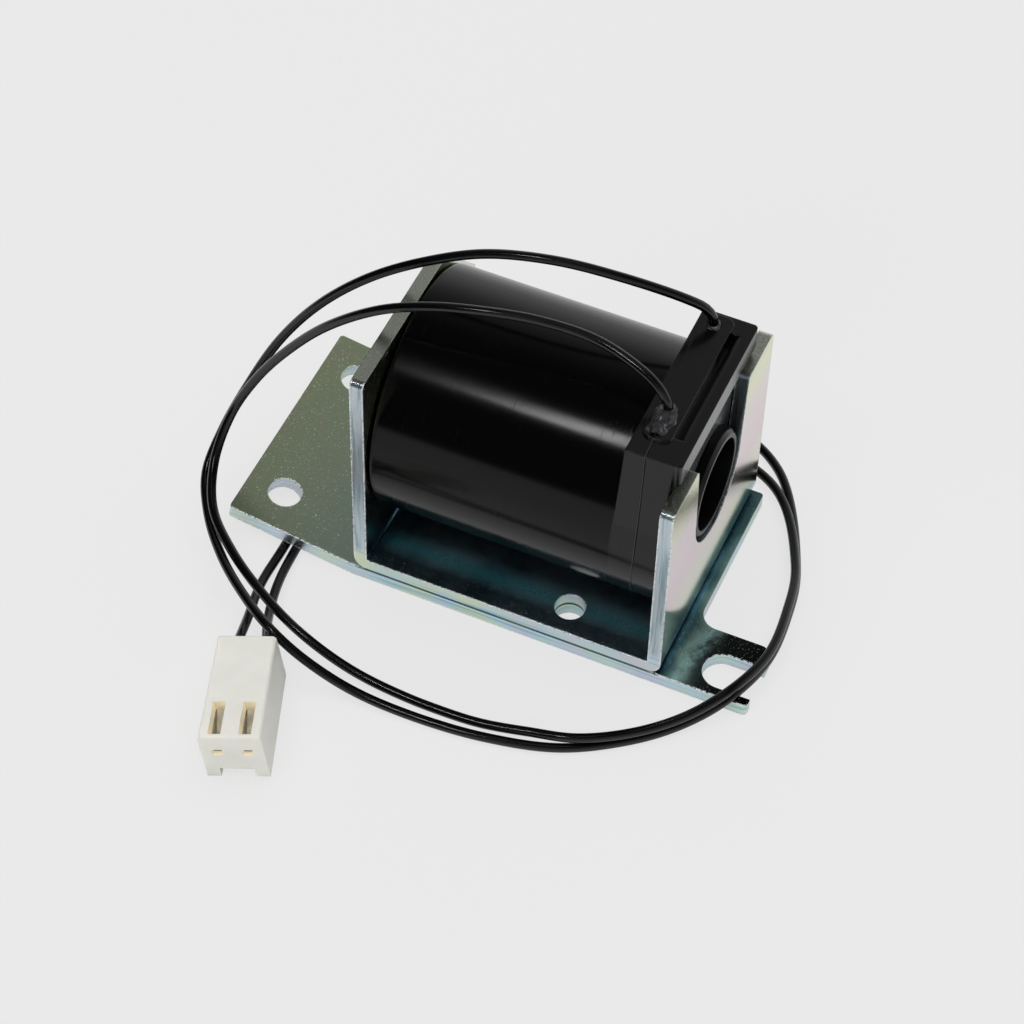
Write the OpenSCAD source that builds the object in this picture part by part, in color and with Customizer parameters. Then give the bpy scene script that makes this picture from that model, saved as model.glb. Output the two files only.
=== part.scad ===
// Open-frame pull solenoid of an ice dispenser, with two leads and a two-way plug.
// X runs along the bore towards its open mouth, Y runs across, Z points up.
// The origin lies on the underside of the base plate, under the middle of the frame.

/* [Base plate] */
// Thickness of the base plate
base_t = 2; // [1.2:0.1:3]
// Strip of base plate in front of the front leg
front_strip = 1.35; // [0.6:0.05:4]
// Distance from the back leg to the line where the flap bends up
bend_gap = 0.3; // [0.1:0.1:2]
// Length of the rear flap
flap_l = 19; // [15:0.1:24]
// Angle at which the rear flap rises
flap_angle = 9.1; // [6:0.1:15]
// Diameter of the two flap holes
flap_hole_d = 4.7; // [3:0.1:6.5]
// Distance between the two flap holes
flap_hole_pitch = 23; // [16:0.5:26]
// Distance from the flap holes to the rear edge
flap_hole_edge = 5.5; // [4:0.1:8]
// Corner radius of the flap and the front strip
plate_corner_r = 0.5; // [0.3:0.1:3]
// Reach of the front ear beyond the front strip
ear_l = 10.95; // [9:0.05:16]
// Width of the front ear
ear_w = 10.3; // [9.4:0.1:14]
// Width of the ear's open slot
ear_slot_w = 5.6; // [4.4:0.1:6.4]
// Depth of the ear's slot from its tip to the centre of its round end
ear_slot_l = 4.9; // [3:0.1:6]
// Width of the thin prong beside the slot
ear_prong = 1.3; // [0.8:0.1:2]
// Corner radius of the wide prong
ear_corner_r = 1.8; // [0.5:0.1:2]
// Fillet between the ear and the front strip
ear_fillet_r = 2.6; // [1:0.1:4]

/* [Steel frame] */
// Outside length of the frame
frame_l = 44.6; // [40:0.1:52]
// Width of the frame and the base plate
frame_w = 35; // [33:0.5:42]
// Thickness of the frame
frame_t = 1.9; // [1.2:0.1:2.4]
// Inside radius of the frame's two bends
bend_r = 0.3; // [0.2:0.1:1.2]
// Height of the back leg
back_leg_h = 36.8; // [34:0.1:42]
// Height of the front leg
front_leg_h = 32.3; // [28:0.1:35]
// Width of the round end of the front leg's open slot
front_slot_w = 15.8; // [15.4:0.1:17.4]
// Width of the slot at its mouth
front_mouth_w = 17.6; // [16.4:0.1:21]
// Corner radius at the mouth of the slot
mouth_r = 0.8; // [0.3:0.1:2]
// Corner radius of the legs' other top corners
leg_corner_r = 1; // [0.2:0.1:1.5]
// Size of the slanting clip on the back leg's far top corner
corner_clip = 10.5; // [4:0.5:12]
// Diameter of the two holes in the frame's floor
floor_hole_d = 4.2; // [3:0.1:5.5]
// Distance between the two floor holes
floor_hole_pitch = 26.6; // [22:0.2:28]
// Place of the floor holes in front of the middle
floor_hole_x = 7.6; // [-10:0.1:12]

/* [Coil cover] */
// Height of the bore's axis above the frame's floor
axis_rise = 18.2; // [17:0.1:21]
// Outside diameter of the cover's barrel
cover_d = 33.7; // [32.6:0.1:36]
// Wall of the cover's barrel
cover_wall = 1.55; // [1:0.05:2]
// Wall at the front of the cover
front_wall = 2; // [1.6:0.1:3]
// Rounding of the barrel's rear edge
rear_edge_r = 0.7; // [0.3:0.1:0.9]
// Length of the lead block along the bore
block_l = 6.55; // [6:0.05:9]
// Width of the lead block's flat top
block_top_w = 26.6; // [24:0.1:30]
// Height of the lead block above the barrel's crown
block_proud = 0.1; // [0.1:0.05:2]
// Reach of the block's lip over the front leg
lip_l = 1.1; // [0.5:0.1:1.8]
// Height of the lip's front face
lip_h = 3.3; // [2.5:0.1:4.2]
// Corner radius of the lip
lip_corner_r = 0.6; // [0.2:0.1:0.9]
// Height of the raised pad that the leads come out of
pad_h = 0.3; // [0.1:0.05:0.6]
// Distance from the block's rear edge to the pad
pad_rear = 0.8; // [0.3:0.1:1]
// Reach of the pad in front of the terminal chamber
pad_front = 0.2; // [0.1:0.05:0.4]
// Distance from the block's near side to the pad
pad_near = 2.9; // [0.5:0.1:4]
// Distance from the block's far side to the pad
pad_far = 0.5; // [0.3:0.1:0.8]
// Corner radius of the pad
pad_corner_r = 1.2; // [0.4:0.1:1.6]
// Width of the groove in front of the pad
groove_w = 0.6; // [0.4:0.1:0.8]
// Depth of the groove
groove_depth = 1.6; // [1.2:0.1:2.4]
// Rounding of the groove's front edge
groove_round = 1.1; // [0.3:0.1:1.1]
// Distance from the block's near side to the groove
groove_near = 4.3; // [3:0.1:8]
// Distance from the block's far side to the groove
groove_far = 2.7; // [1.5:0.1:6]

/* [Bobbin and winding] */
// Diameter of the bore
bore_d = 12.9; // [12:0.1:13.2]
// Wall of the bobbin's tube
tube_wall = 1.1; // [0.8:0.05:1.3]
// Thickness of the bobbin's two flanges
flange_t = 1.4; // [1:0.1:2]
// Reach of the bobbin's nose beyond the cover
nose_l = 1.7; // [0.5:0.1:2]
// Chamfer round the end of the nose
nose_chamfer = 0.5; // [0.2:0.1:0.7]
// Length of the terminal chamber behind the front wall
chamber_l = 4.6; // [4.4:0.1:6]
// Depth of the winding's outside below the rims of the flanges
winding_sink = 1.05; // [0.7:0.05:4]
// Thickness of the insulation wrap
wrap_t = 0.35; // [0.2:0.05:0.45]

/* [Pole piece and plunger] */
// Length of the pole piece inside the bore
pole_l = 13.9; // [9:0.1:17]
// Diameter of the pole piece's staked shank
shank_d = 8; // [6:0.1:10]
// Width of the staked rim
stake_w = 0.6; // [0.3:0.1:1]
// Gap between the pole piece and the seated plunger
air_gap = 0.3; // [0.3:0.05:1]
// Length of the plunger
plunger_l = 19.2; // [14:0.1:24]
// Chamfer on the ends of the pole piece and the plunger
rod_chamfer = 0.8; // [0.2:0.1:1.5]
// Diameter of the plunger's tapped hole
tap_d = 3.3; // [2.4:0.1:5]
// Depth of the plunger's tapped hole
tap_l = 10; // [6:0.5:12]
// Chamfer at the mouth of the plunger's tapped hole
tap_chamfer = 0.5; // [0.2:0.1:1]

/* [Leads and terminals] */
// Outside diameter of the leads
lead_d = 1.3; // [1:0.1:1.6]
// Distance from the cover's front face to the near lead
near_lead_inset = 3.8; // [3.6:0.1:4.6]
// Distance from the cover's front face to the far lead
far_lead_inset = 4.2; // [4:0.1:4.6]
// Place of the near lead across the block
near_lead_y = -5.6; // [-8:0.1:0]
// Place of the far lead across the block
far_lead_y = 10.8; // [8:0.1:11]
// Depth of the near lead's end below the block's top
near_lead_sink = 4.05; // [3.8:0.05:5]
// Depth of the far lead's end below the block's top
far_lead_sink = 7.55; // [7.2:0.05:9]
// Diameter of the terminals' pins
pin_d = 1; // [0.6:0.1:1.2]
// Length of the terminals' barrels
barrel_l = 3.4; // [2:0.1:4]
// Diameter of the terminals' barrels
barrel_d = 1.9; // [1.4:0.1:2.2]
// Diameter of the dab of glue round the near lead
near_glue_d = 3.2; // [2.8:0.1:3.2]
// Diameter of the dab of glue round the far lead
far_glue_d = 2.8; // [2.8:0.1:3]
// Height of the two dabs of glue
glue_h = 1.2; // [0.6:0.1:2]
// Rim of the dabs at their tops, round the lead's hole
glue_rim = 0.6; // [0.2:0.1:0.8]

/* [Plug] */
// Distance between the plug's contacts
plug_pitch = 3.96; // [3.5:0.01:4.5]
// Length of the plug housing
plug_l = 16.3; // [15.5:0.1:20]
// Height of the plug housing
plug_h = 8.3; // [7.6:0.05:9]
// Width of the plug housing at its wire end
plug_wire_w = 7.85; // [7.6:0.05:8.6]
// Width of the plug housing at its mating end
plug_front_w = 8.3; // [7.9:0.05:9]
// Rounding of the housing's long top edges
plug_edge_r = 0.6; // [0.2:0.1:0.8]
// Height of the two rails under the housing
rail_h = 1.6; // [1:0.1:2]
// Width of each rail
rail_w = 1.85; // [1:0.05:2.2]
// Width of the contact cavities
cavity_w = 2.7; // [2.4:0.05:3]
// Height of the contact cavities
cavity_h = 2.9; // [2.5:0.05:3.2]
// Thickness of the floor under the cavities
plug_floor = 1.9; // [1:0.1:2.2]
// Wall at the mating end
plug_wall = 0.6; // [0.4:0.1:2]
// Length of the two windows in the top
window_l = 5.2; // [4:0.1:6]
// Width of the two windows
window_w = 1.64; // [1.4:0.02:2]
// Width of the pin holes in the mating end
pin_hole_w = 1.28; // [1:0.02:1.6]
// Height of the pin holes
pin_hole_h = 1.1; // [0.8:0.05:1.5]
// Height of the leads' ends above the cavity floor
contact_rise = 1.6; // [1.4:0.05:1.7]
// Sheet thickness of the contacts
contact_t = 0.35; // [0.2:0.05:0.45]
// Height of the contacts' channels
contact_h = 2; // [1.6:0.1:2.3]
// Width of the contacts' locking tongues
tongue_w = 1; // [0.6:0.05:1.2]
// Height of the tongues' tips above the cavity floor
tongue_h = 3.5; // [3:0.1:3.8]
// Distance from the wire end to where each lead ends in its crimp
crimp_in = 3; // [2:0.1:4]
// Length of the crimps
crimp_l = 3.2; // [2:0.1:3.6]
// Thickness of the crimps round the leads
crimp_t = 0.3; // [0.2:0.05:0.4]
// Length of the neck between a crimp and its channel
neck_l = 1; // [0.6:0.1:1.6]
// Straight run of each lead behind the plug
lead_run = 0.6; // [0.4:0.1:0.8]

/* [Fits] */
// Clearance between the cover and the legs
leg_gap = 0.1; // [0.04:0.01:0.2]
// Clearance between the lip and the front leg's top
lip_gap = 0.1; // [0.04:0.01:0.3]
// Clearance between sealed-in pieces
slip = 0.05; // [0.02:0.01:0.08]
// Clearance round the bobbin's nose in the cover
nose_gap = 0.1; // [0.04:0.01:0.2]
// Running clearance round the plunger
plunger_play = 0.09; // [0.03:0.01:0.1]
// Clearance between a lead and the hole that it comes out of
lead_gap = 0.3; // [0.25:0.05:0.5]

/* [Hidden] */
$fn = 96;
// Overshoot of cuts past the faces that they break
over = 0.5;

// Levels and stations that several pieces share
floor_z = base_t + frame_t;
axis_z = floor_z + axis_rise;
leg_in = frame_l / 2 - frame_t;
front_top = base_t + front_leg_h;
back_top = base_t + back_leg_h;
plate_front = frame_l / 2 + front_strip;
plate_bend = -(frame_l / 2 + bend_gap);
cover_r = cover_d / 2;
cover_in_r = cover_r - cover_wall;
cover_front = leg_in - leg_gap;
cover_rear = -cover_front;
block_top = axis_z + cover_r + block_proud;
pad_top = block_top + pad_h;
lip_bottom = front_top + lip_gap;
bore_r = bore_d / 2;
tube_r = bore_r + tube_wall;
flange_r = cover_in_r - slip;
chamber_front = cover_front - front_wall;
chamber_rear = chamber_front - chamber_l;
winding_rear = cover_rear + flange_t + slip;
winding_front = chamber_rear - flange_t - slip;
winding_r = flange_r - winding_sink;
rod_r = bore_r - plunger_play;
shank_r = shank_d / 2;
pole_face = -leg_in + pole_l;
lead_r = lead_d / 2;
lead_hole_r = lead_r + lead_gap;

// The front leg's slot: its round end, its half width and height at the mouth, and where its walls start
slot_r = front_slot_w / 2;
slot_half = front_mouth_w / 2;
slot_rise = front_top - axis_z;
slot_foot_angle = atan2(slot_rise, slot_half) - acos(slot_r / norm([slot_half, slot_rise]));
slot_foot = (slot_r - 2 * slip) * [cos(slot_foot_angle), sin(slot_foot_angle)];

// Where the leads leave the lead block, and where they end inside it
near_exit = [cover_front - near_lead_inset, near_lead_y];
far_exit = [cover_front - far_lead_inset, far_lead_y];
near_end = block_top - near_lead_sink;
far_end = block_top - far_lead_sink;

// Where the plug lies: the middle of its wire end, its turn about the vertical and its roll on one rail
plug_at = [-26.4, -38.5];
plug_turn = 18.8;
plug_roll = 7.1;
plug_draft = atan2((plug_front_w - plug_wire_w) / 2, plug_l);
cavity_z = rail_h + plug_floor;
contact_z = cavity_z + contact_rise;
contact_w = cavity_w - 2 * slip;
crimp_r = lead_r + crimp_t;
window_from = plug_l - plug_wall - window_l;

// A point given across the plug, along it from its wire end, and up from its rails
function plug_point(across, along, up) =
    let (reach = across + plug_front_w / 2)
    let (out = reach * cos(plug_roll) - up * sin(plug_roll) - plug_front_w / 2)
    [
        plug_at.x + out * cos(plug_turn) + along * sin(plug_turn),
        plug_at.y + out * sin(plug_turn) - along * cos(plug_turn),
        reach * sin(plug_roll) + up * cos(plug_roll)
    ];

// Routes of the two leads, from the terminals in the block to the crimps in the plug
far_route = [
    [far_exit.x, far_exit.y, far_end], [far_exit.x, far_exit.y, block_top],
    [15.9, 10.8, 40.6], [14.9, 10.5, 42.2], [12.6, 9.6, 43.7], [4.8, 7.4, 46.2], [-4.2, 5.6, 47.2],
    [-13.2, 4, 46], [-20.7, 2, 43.2], [-27.9, 0.4, 38.6], [-34.5, -1.2, 32.2], [-39.7, -3.2, 24.8],
    [-43.2, -6.4, 17.4], [-45.4, -10.4, 11.2], [-45.6, -15.2, 7.4], [-42.6, -20.6, 5.8],
    [-37.6, -26.3, 5.7], [-32.1, -31, 6.2], [-26.6, -34.6, 6.4], [-21.3, -35.9, 4.3],
    [-13.9, -36.2, 1.5], [-4.9, -36.2, 0.7], [5.4, -35.3, 0.7], [14.9, -32.7, 0.7], [23.2, -27.3, 0.7],
    [28.3, -22.6, 1.4], [32.1, -17.9, 2.9], [34.5, -10.3, 2.9], [34.2, -1.5, 2.1], [32.1, 8, 0.8],
    [23.6, 23.5, 0.7], [14, 28.4, 0.7], [-10, 28.6, 0.7], [-28, 25.2, 0.7], [-33, 18.6, 0.7],
    [-32.8, -17.8, 0.7], [-32.5, -25.2, 1.4], [-30.8, -32.3, 3.1],
    plug_point(-plug_pitch / 2, -lead_run, contact_z), plug_point(-plug_pitch / 2, crimp_in, contact_z)
];
near_route = [
    [near_exit.x, near_exit.y, near_end], [near_exit.x, near_exit.y, block_top],
    [16.3, -5.5, 40.6], [15.3, -5.2, 42.2], [13, -4.4, 43.4], [5.7, -2.8, 44.8], [-2.2, -3.5, 45.7],
    [-9.8, -5, 45.6], [-16.3, -6, 44.4], [-23, -6.6, 41.4], [-30.2, -6.9, 35.6], [-35.8, -7.1, 29],
    [-41, -7.8, 21.2], [-44, -10.2, 14.8], [-44.3, -14.9, 10.2], [-41.9, -20.4, 7.5],
    [-36.7, -25.2, 6.4], [-30, -29.2, 5], [-23.3, -31.9, 3.6], [-15.3, -33.3, 1.6], [-6.3, -33.8, 0.7],
    [2.9, -33.6, 0.7], [10.2, -32.6, 1.4], [16.6, -31.4, 2.2], [23.1, -27.3, 2.2], [28.2, -22.7, 2.9],
    [32, -17.9, 4.4], [34.5, -10.5, 4.4], [34.1, -1.6, 3.6], [31.9, 7.8, 2.2], [24, 19.9, 1.6],
    [6, 25, 0.7], [-14, 25, 0.7], [-27, 22.6, 0.7], [-31.4, 17.8, 0.7], [-31.2, -16.8, 0.7],
    [-30.4, -24.4, 1.4], [-28.4, -31.2, 2.7],
    plug_point(plug_pitch / 2, -lead_run, contact_z), plug_point(plug_pitch / 2, crimp_in, contact_z)
];

// A rod along X on the bore's axis
module x_rod(r, from, to) {
    translate([from, 0, axis_z])
        rotate([0, 90, 0])
            cylinder(r = r, h = to - from);
}

// A sleeve along X on the bore's axis
module x_sleeve(r_out, r_in, from, to) {
    difference() {
        x_rod(r_out, from, to);
        x_rod(r_in, from - over, to + over);
    }
}

// A cone along X on the bore's axis
module x_cone(r_from, r_to, from, to) {
    translate([from, 0, axis_z])
        rotate([0, 90, 0])
            cylinder(r1 = r_from, r2 = r_to, h = to - from);
}

// A rod along X with a chamfer at each end
module x_chamfered_rod(r, c, from, to) {
    x_cone(r - c, r, from, from + c);
    x_rod(r, from + c, to - c);
    x_cone(r, r - c, to - c, to);
}

// What rounding takes off a corner that lies at the origin and points to +X and +Y
module corner_bite(r, h) {
    difference() {
        translate([-r, -r, -h / 2])
            cube([r + over, r + over, h]);
        translate([-r, -r, -h / 2 - over])
            cylinder(r = r, h = h + 2 * over);
    }
}

// The same on a leg's corner at height z, pointing up and to the given side
module leg_corner_bite(x, y, z, side, r) {
    translate([x, y, z])
        rotate([90, 0, 90])
            mirror([side < 0 ? 1 : 0, 0, 0])
                corner_bite(r, 3 * frame_t);
}

// The same on a corner of a plate that lies flat
module plate_corner_bite(x, y, side_x, side_y, r) {
    translate([x, y, base_t / 2])
        mirror([side_x < 0 ? 1 : 0, 0, 0])
            mirror([0, side_y < 0 ? 1 : 0, 0])
                corner_bite(r, 3 * base_t);
}

// A block standing on z = 0 with rounded lower edges, long along X
module trough(l, w, h, r) {
    translate([-l / 2, -w / 2, r])
        cube([l, w, h - r]);
    translate([r - l / 2, -w / 2, 0])
        cube([l - 2 * r, w, h]);
    for (side = [-1, 1])
        translate([side * (l / 2 - r), w / 2, r])
            rotate([90, 0, 0])
                cylinder(r = r, h = w);
}

// The two holes for screws through the frame's floor and the base plate
module floor_holes() {
    for (side = [-1, 1])
        translate([floor_hole_x, side * floor_hole_pitch / 2, -over])
            cylinder(d = floor_hole_d, h = floor_z + 2 * over);
}

// Side view of the base plate: a flat run and the flap behind its bend line
module plate_profile() {
    along = [-cos(flap_angle), sin(flap_angle)];
    upright = [sin(flap_angle), cos(flap_angle)];
    flap_end = [plate_bend, 0] + flap_l * along;
    polygon([
        [plate_front, 0],
        [plate_bend, 0],
        flap_end,
        flap_end + base_t * upright,
        [plate_bend + base_t * tan(flap_angle / 2), base_t],
        [plate_front, base_t]
    ]);
}

// The ear on the near side of the front strip, with its fillet and open slot
module ear() {
    near_edge = -frame_w / 2;
    far_edge = near_edge + ear_w;
    tip = plate_front + ear_l;
    slot_y = near_edge + ear_prong + ear_slot_w / 2;
    difference() {
        union() {
            translate([plate_front - 2 * over, near_edge, 0])
                cube([ear_l + 2 * over, ear_w, base_t]);
            translate([plate_front, far_edge, 0])
                difference() {
                    translate([-over, -over, 0])
                        cube([ear_fillet_r + over, ear_fillet_r + over, base_t]);
                    translate([ear_fillet_r, ear_fillet_r, -over])
                        cylinder(r = ear_fillet_r, h = base_t + 2 * over);
                }
        }
        translate([tip - ear_slot_l, slot_y, -over])
            cylinder(d = ear_slot_w, h = base_t + 2 * over);
        translate([tip - ear_slot_l, slot_y - ear_slot_w / 2, -over])
            cube([ear_slot_l + over, ear_slot_w, base_t + 2 * over]);
        plate_corner_bite(tip, far_edge, 1, 1, ear_corner_r);
        plate_corner_bite(tip, near_edge, 1, -1, ear_prong / 2);
    }
}

module base_plate() {
    color("#9aa39b") difference() {
        union() {
            rotate([90, 0, 0])
                linear_extrude(frame_w, center = true)
                    plate_profile();
            ear();
        }
        floor_holes();
        plate_corner_bite(plate_front, frame_w / 2, 1, 1, plate_corner_r);
        translate([plate_bend, 0, 0])
            rotate([0, flap_angle, 0])
                for (side = [-1, 1]) {
                    translate([flap_hole_edge - flap_l, side * flap_hole_pitch / 2, -over])
                        cylinder(d = flap_hole_d, h = base_t + 2 * over);
                    plate_corner_bite(-flap_l, side * frame_w / 2, -1, side, plate_corner_r);
                }
    }
}

// The open slot in the front leg, round about the bore's axis, with walls that lean out to its mouth
module front_slot() {
    above = slot_rise + over;
    x_rod(slot_r, leg_in - over, frame_l / 2 + over);
    translate([leg_in - over, 0, axis_z])
        rotate([90, 0, 90])
            linear_extrude(frame_t + 2 * over)
                polygon([
                    [-slot_foot.x, slot_foot.y], slot_foot, [slot_half, slot_rise],
                    [slot_half, above], [-slot_half, above], [-slot_half, slot_rise]
                ]);
}

// What rounding takes off the corner between the slot's wall on one side and the leg's top
module mouth_bite(side) {
    lean = atan2(slot_half - slot_foot.x, slot_rise - slot_foot.y);
    wall = [cos(lean), -sin(lean)];
    centre = [slot_half + mouth_r * (1 - sin(lean)) / cos(lean), slot_rise - mouth_r];
    foot = centre - mouth_r * wall;
    above = slot_rise + over;
    translate([leg_in - over, 0, axis_z])
        rotate([90, 0, 90])
            mirror([side < 0 ? 1 : 0, 0, 0])
                difference() {
                    linear_extrude(frame_t + 2 * over)
                        polygon([centre, [centre.x, above], [foot.x - over, above], foot - over * wall]);
                    translate([centre.x, centre.y, -over])
                        cylinder(r = mouth_r, h = frame_t + 4 * over);
                }
}

// The slanting clip on the back leg's far top corner
module leg_clip() {
    low = -corner_clip - over;
    translate([-frame_l / 2 - over, frame_w / 2, back_top])
        rotate([90, 0, 90])
            linear_extrude(frame_t + 2 * over)
                polygon([[-corner_clip, 0], [over, low], [over, over], [-corner_clip, over]]);
}

// The hole for the pole piece's shank, widened at the outside for the staked rim
module shank_hole(gap) {
    x_rod(shank_r + gap, -frame_l / 2 - over, -leg_in + over);
    x_cone(shank_r + stake_w + gap, shank_r + gap, -frame_l / 2, -frame_l / 2 + stake_w);
}

module c_frame() {
    color("#b9bfc0") difference() {
        translate([0, 0, base_t])
            trough(frame_l, frame_w, back_leg_h, bend_r + frame_t);
        translate([0, 0, floor_z])
            trough(2 * leg_in, frame_w + 2 * over, back_leg_h, bend_r);
        translate([0, -frame_w / 2 - over, front_top])
            cube([frame_l, frame_w + 2 * over, back_leg_h]);
        front_slot();
        leg_clip();
        shank_hole(slip);
        floor_holes();
        leg_corner_bite(-leg_in, -frame_w / 2, back_top, -1, leg_corner_r);
        for (side = [-1, 1]) {
            mouth_bite(side);
            leg_corner_bite(leg_in, side * frame_w / 2, front_top, side, leg_corner_r);
        }
    }
}

// Half section of the cover's barrel, with its rear edge rounded
module barrel_section() {
    difference() {
        square([cover_r, cover_front - cover_rear]);
        translate([cover_r - rear_edge_r, 0])
            difference() {
                translate([0, -over])
                    square([rear_edge_r + over, rear_edge_r + over]);
                translate([0, rear_edge_r])
                    circle(r = rear_edge_r);
            }
    }
}

// The barrel of the cover
module cover_barrel() {
    translate([cover_rear, 0, axis_z])
        rotate([0, 90, 0])
            rotate_extrude()
                barrel_section();
}

// End view of the lead block: shoulders that run off the barrel to a flat top
module block_profile() {
    top = cover_r + block_proud;
    half = block_top_w / 2;
    reach = sqrt(half * half + top * top);
    foot_angle = atan2(top, half) - acos(cover_r / reach);
    foot_r = cover_r - 2 * slip;
    foot = foot_r * [cos(foot_angle), sin(foot_angle)];
    polygon([[half, top], foot, [0, 0], [-foot.x, foot.y], [-half, top]]);
}

// The lead block at the front of the cover
module lead_block() {
    translate([cover_front - block_l, 0, axis_z])
        rotate([90, 0, 90])
            linear_extrude(block_l)
                block_profile();
}

// The block's lip over the front leg: an upright face, a sloping underside and rounded corners
module block_lip() {
    tip = cover_front + lip_l;
    difference() {
        translate([0, block_top_w / 2, 0])
            rotate([90, 0, 0])
                linear_extrude(block_top_w)
                    polygon([
                        [cover_front - over, lip_bottom],
                        [cover_front, lip_bottom],
                        [tip, block_top - lip_h],
                        [tip, block_top],
                        [cover_front - over, block_top]
                    ]);
        for (side = [-1, 1])
            translate([tip, side * block_top_w / 2, block_top])
                mirror([0, side < 0 ? 1 : 0, 0])
                    corner_bite(lip_corner_r, 4 * lip_h);
    }
}

// The raised pad on the block's top, with rounded corners
module lead_pad() {
    from = [cover_front - block_l + pad_rear, pad_near - block_top_w / 2];
    to = [chamber_front + pad_front, block_top_w / 2 - pad_far];
    difference() {
        translate([from.x, from.y, block_top - over])
            cube([to.x - from.x, to.y - from.y, over + pad_h]);
        for (side_x = [-1, 1])
            for (side_y = [-1, 1])
                translate([side_x < 0 ? from.x : to.x, side_y < 0 ? from.y : to.y, block_top])
                    mirror([side_x < 0 ? 1 : 0, 0, 0])
                        mirror([0, side_y < 0 ? 1 : 0, 0])
                            corner_bite(pad_corner_r, 4 * over);
    }
}

// The groove between the pad and the block's front, with its front edge rounded
module block_groove() {
    rear = chamber_front + pad_front;
    from = groove_near - block_top_w / 2;
    to = block_top_w / 2 - groove_far;
    translate([rear, from, block_top - groove_depth])
        cube([groove_w, to - from, groove_depth + over]);
    translate([rear + groove_w, (from + to) / 2, block_top])
        rotate([90, 0, 0])
            mirror([1, 0, 0])
                corner_bite(groove_round, to - from);
}

// A hole for a lead, from the chamber up through the block's top
module lead_hole(place) {
    translate([place.x, place.y, axis_z + tube_r])
        cylinder(r = lead_hole_r, h = block_top - axis_z);
}

module coil_cover() {
    color("#161617") difference() {
        union() {
            cover_barrel();
            lead_block();
            block_lip();
            lead_pad();
        }
        x_rod(cover_in_r, cover_rear - over, chamber_front);
        x_rod(tube_r + nose_gap, chamber_front - over, cover_front + lip_l + over);
        block_groove();
        lead_hole(near_exit);
        lead_hole(far_exit);
    }
}

// The pin of a lead terminal, which sits in the bobbin's front flange
module terminal_pin(place, end, r, from) {
    translate([from, place.y, end - barrel_l / 2])
        rotate([0, 90, 0])
            cylinder(r = r, h = place.x - from);
}

module bobbin() {
    nose_end = cover_front + nose_l;
    color("#2a2a2c") difference() {
        union() {
            x_rod(tube_r, cover_rear, nose_end - nose_chamfer);
            x_cone(tube_r, tube_r - nose_chamfer, nose_end - nose_chamfer, nose_end);
            x_rod(flange_r, cover_rear, cover_rear + flange_t);
            x_rod(flange_r, chamber_rear - flange_t, chamber_rear);
        }
        x_rod(bore_r, cover_rear - over, nose_end + over);
        terminal_pin(near_exit, near_end, pin_d / 2 + slip, chamber_rear - flange_t - over);
        terminal_pin(far_exit, far_end, pin_d / 2 + slip, chamber_rear - flange_t - over);
    }
}

module winding() {
    color("#a5582c") x_sleeve(winding_r, tube_r + slip, winding_rear, winding_front);
}

module insulation_wrap() {
    wrap_r = winding_r + slip;
    color("#c8a94a") x_sleeve(wrap_r + wrap_t, wrap_r, winding_rear, winding_front);
}

// A lead terminal: a pin from the flange and an upright barrel that takes the lead's end
module terminal(place, end) {
    terminal_pin(place, end, pin_d / 2, chamber_rear - flange_t);
    translate([place.x, place.y, end - barrel_l])
        cylinder(d = barrel_d, h = barrel_l);
}

module terminal_near() {
    color("#c9a349") terminal(near_exit, near_end);
}

module terminal_far() {
    color("#c9a349") terminal(far_exit, far_end);
}

// A dab of glue on the pad, round a lead
module glue_dab(place, d) {
    translate([place.x, place.y, pad_top])
        difference() {
            cylinder(d1 = d, d2 = 2 * lead_hole_r + glue_rim, h = glue_h);
            translate([0, 0, -over])
                cylinder(r = lead_hole_r, h = glue_h + 2 * over);
        }
}

module glue_near() {
    color("#55565a") glue_dab(near_exit, near_glue_d);
}

module glue_far() {
    color("#55565a") glue_dab(far_exit, far_glue_d);
}

module pole_piece() {
    outside = -frame_l / 2;
    color("#a7abac") difference() {
        union() {
            x_rod(rod_r, -leg_in, pole_face - rod_chamfer);
            x_cone(rod_r, rod_r - rod_chamfer, pole_face - rod_chamfer, pole_face);
            x_rod(shank_r, outside, -leg_in + over);
            x_cone(shank_r + stake_w, shank_r, outside, outside + stake_w);
        }
        x_cone(shank_r / 2, 0, outside - over, outside + stake_w);
    }
}

module plunger() {
    rear = pole_face + air_gap;
    front = rear + plunger_l;
    color("#c3c6c6") difference() {
        x_chamfered_rod(rod_r, rod_chamfer, rear, front);
        x_rod(tap_d / 2, front - tap_l, front + over);
        x_cone(tap_d / 2, tap_d / 2 + tap_chamfer + over, front - tap_chamfer, front + over);
    }
}

// Unit vector along v
function unit(v) = v / norm(v);

// Direction of a route at its point i
function heading(route, i) =
    unit(route[min(i + 1, len(route) - 1)] - route[max(i - 1, 0)]);

// A side vector at each point of a route, carried from point to point without twist
function side_vectors(route, i = 0, last = [0, 1, 0]) =
    i == len(route) ? [] :
    let (t = heading(route, i))
    let (s = unit(last - (last * t) * t))
    concat([s], side_vectors(route, i + 1, s));

// A round lead swept along its route
module lead(route) {
    sides = 8;
    count = len(route);
    across = side_vectors(route);
    points = [
        for (i = [0 : count - 1])
            let (s = across[i], u = cross(heading(route, i), s))
            for (k = [0 : sides - 1])
                let (a = 360 * (k + 0.5) / sides)
                route[i] + lead_r * (cos(a) * s + sin(a) * u)
    ];
    first_cap = [for (k = [0 : sides - 1]) k];
    last_cap = [for (k = [sides - 1 : -1 : 0]) (count - 1) * sides + k];
    skin = [
        for (i = [0 : count - 2])
            for (k = [0 : sides - 1])
                let (a = i * sides + k, b = i * sides + (k + 1) % sides)
                for (face = [[a, a + sides, b + sides], [a, b + sides, b]])
                    face
    ];
    polyhedron(points = points, faces = concat([first_cap, last_cap], skin));
}

module lead_wire_near() {
    color("#141415") lead(near_route);
}

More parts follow.
